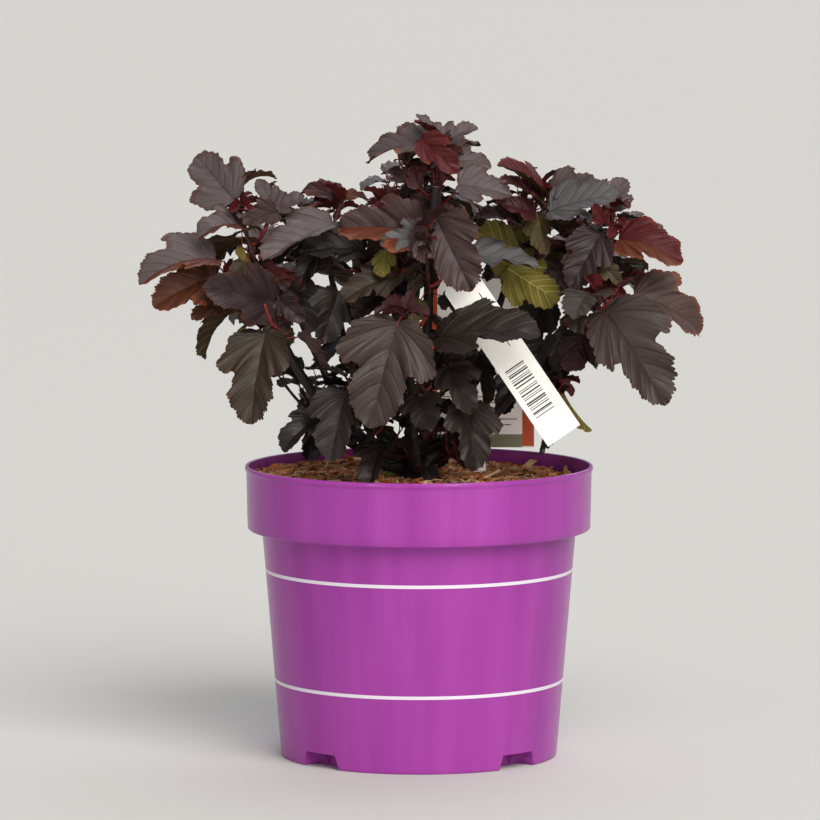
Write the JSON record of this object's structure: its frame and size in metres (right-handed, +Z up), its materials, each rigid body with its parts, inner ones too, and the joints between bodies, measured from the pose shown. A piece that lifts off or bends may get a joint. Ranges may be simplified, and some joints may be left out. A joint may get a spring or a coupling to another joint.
{
  "type": "potted ninebark shrub",
  "caption": "Young dark-leaved ninebark shrub in a violet nursery pot, with a blank hanging tag and a plain card.",
  "frame": {"origin": "middle of the pot's flat underside, on the ground", "axes": "+Z up out of the pot, +X to the right and -Y towards the viewer of the picture"},
  "size_m": [0.3379, 0.2471, 0.3852],
  "materials": {
    "pot_plastic": "glossy violet moulded plastic",
    "potting_mix": "loose rusty bark and fibre",
    "bark": "dull near-black purple bark",
    "foliage": "satin dark purple-brown leaves",
    "card_stock": "smooth printed card",
    "tag_film": "smooth white film"
  },
  "bodies": {
    "root": {"pot": "pot_plastic", "potting_mix": "potting_mix", "stool": "bark", "label_card": "card_stock", "tag": "tag_film", "bough_middle": "bark", "bough_middle_left": "bark", "bough_left": "bark", "bough_left_inner": "bark", "bough_left_low": "bark", "bough_right": "bark", "bough_right_inner": "bark", "bough_right_low": "bark", "bough_front": "bark", "bough_back": "bark", "bough_back_left": "bark", "bough_back_right": "bark", "foliage_top": "foliage", "foliage_top_left": "foliage", "foliage_centre": "foliage", "foliage_centre_left": "foliage", "foliage_left_top": "foliage", "foliage_left_outer": "foliage", "foliage_left_low": "foliage", "foliage_left_inner": "foliage", "foliage_front": "foliage", "foliage_front_low": "foliage", "foliage_front_right": "foliage", "foliage_right_inner": "foliage", "foliage_right_centre": "foliage", "foliage_right_top": "foliage", "foliage_right_outer": "foliage", "foliage_right_low": "foliage", "foliage_right_under": "foliage", "foliage_low_left": "foliage", "foliage_low_right": "foliage", "foliage_low_back": "foliage", "foliage_back": "foliage", "foliage_back_middle": "foliage", "foliage_back_left": "foliage", "foliage_back_left_low": "foliage", "foliage_back_right": "foliage", "foliage_back_right_low": "foliage"}
  },
  "joints": []
}
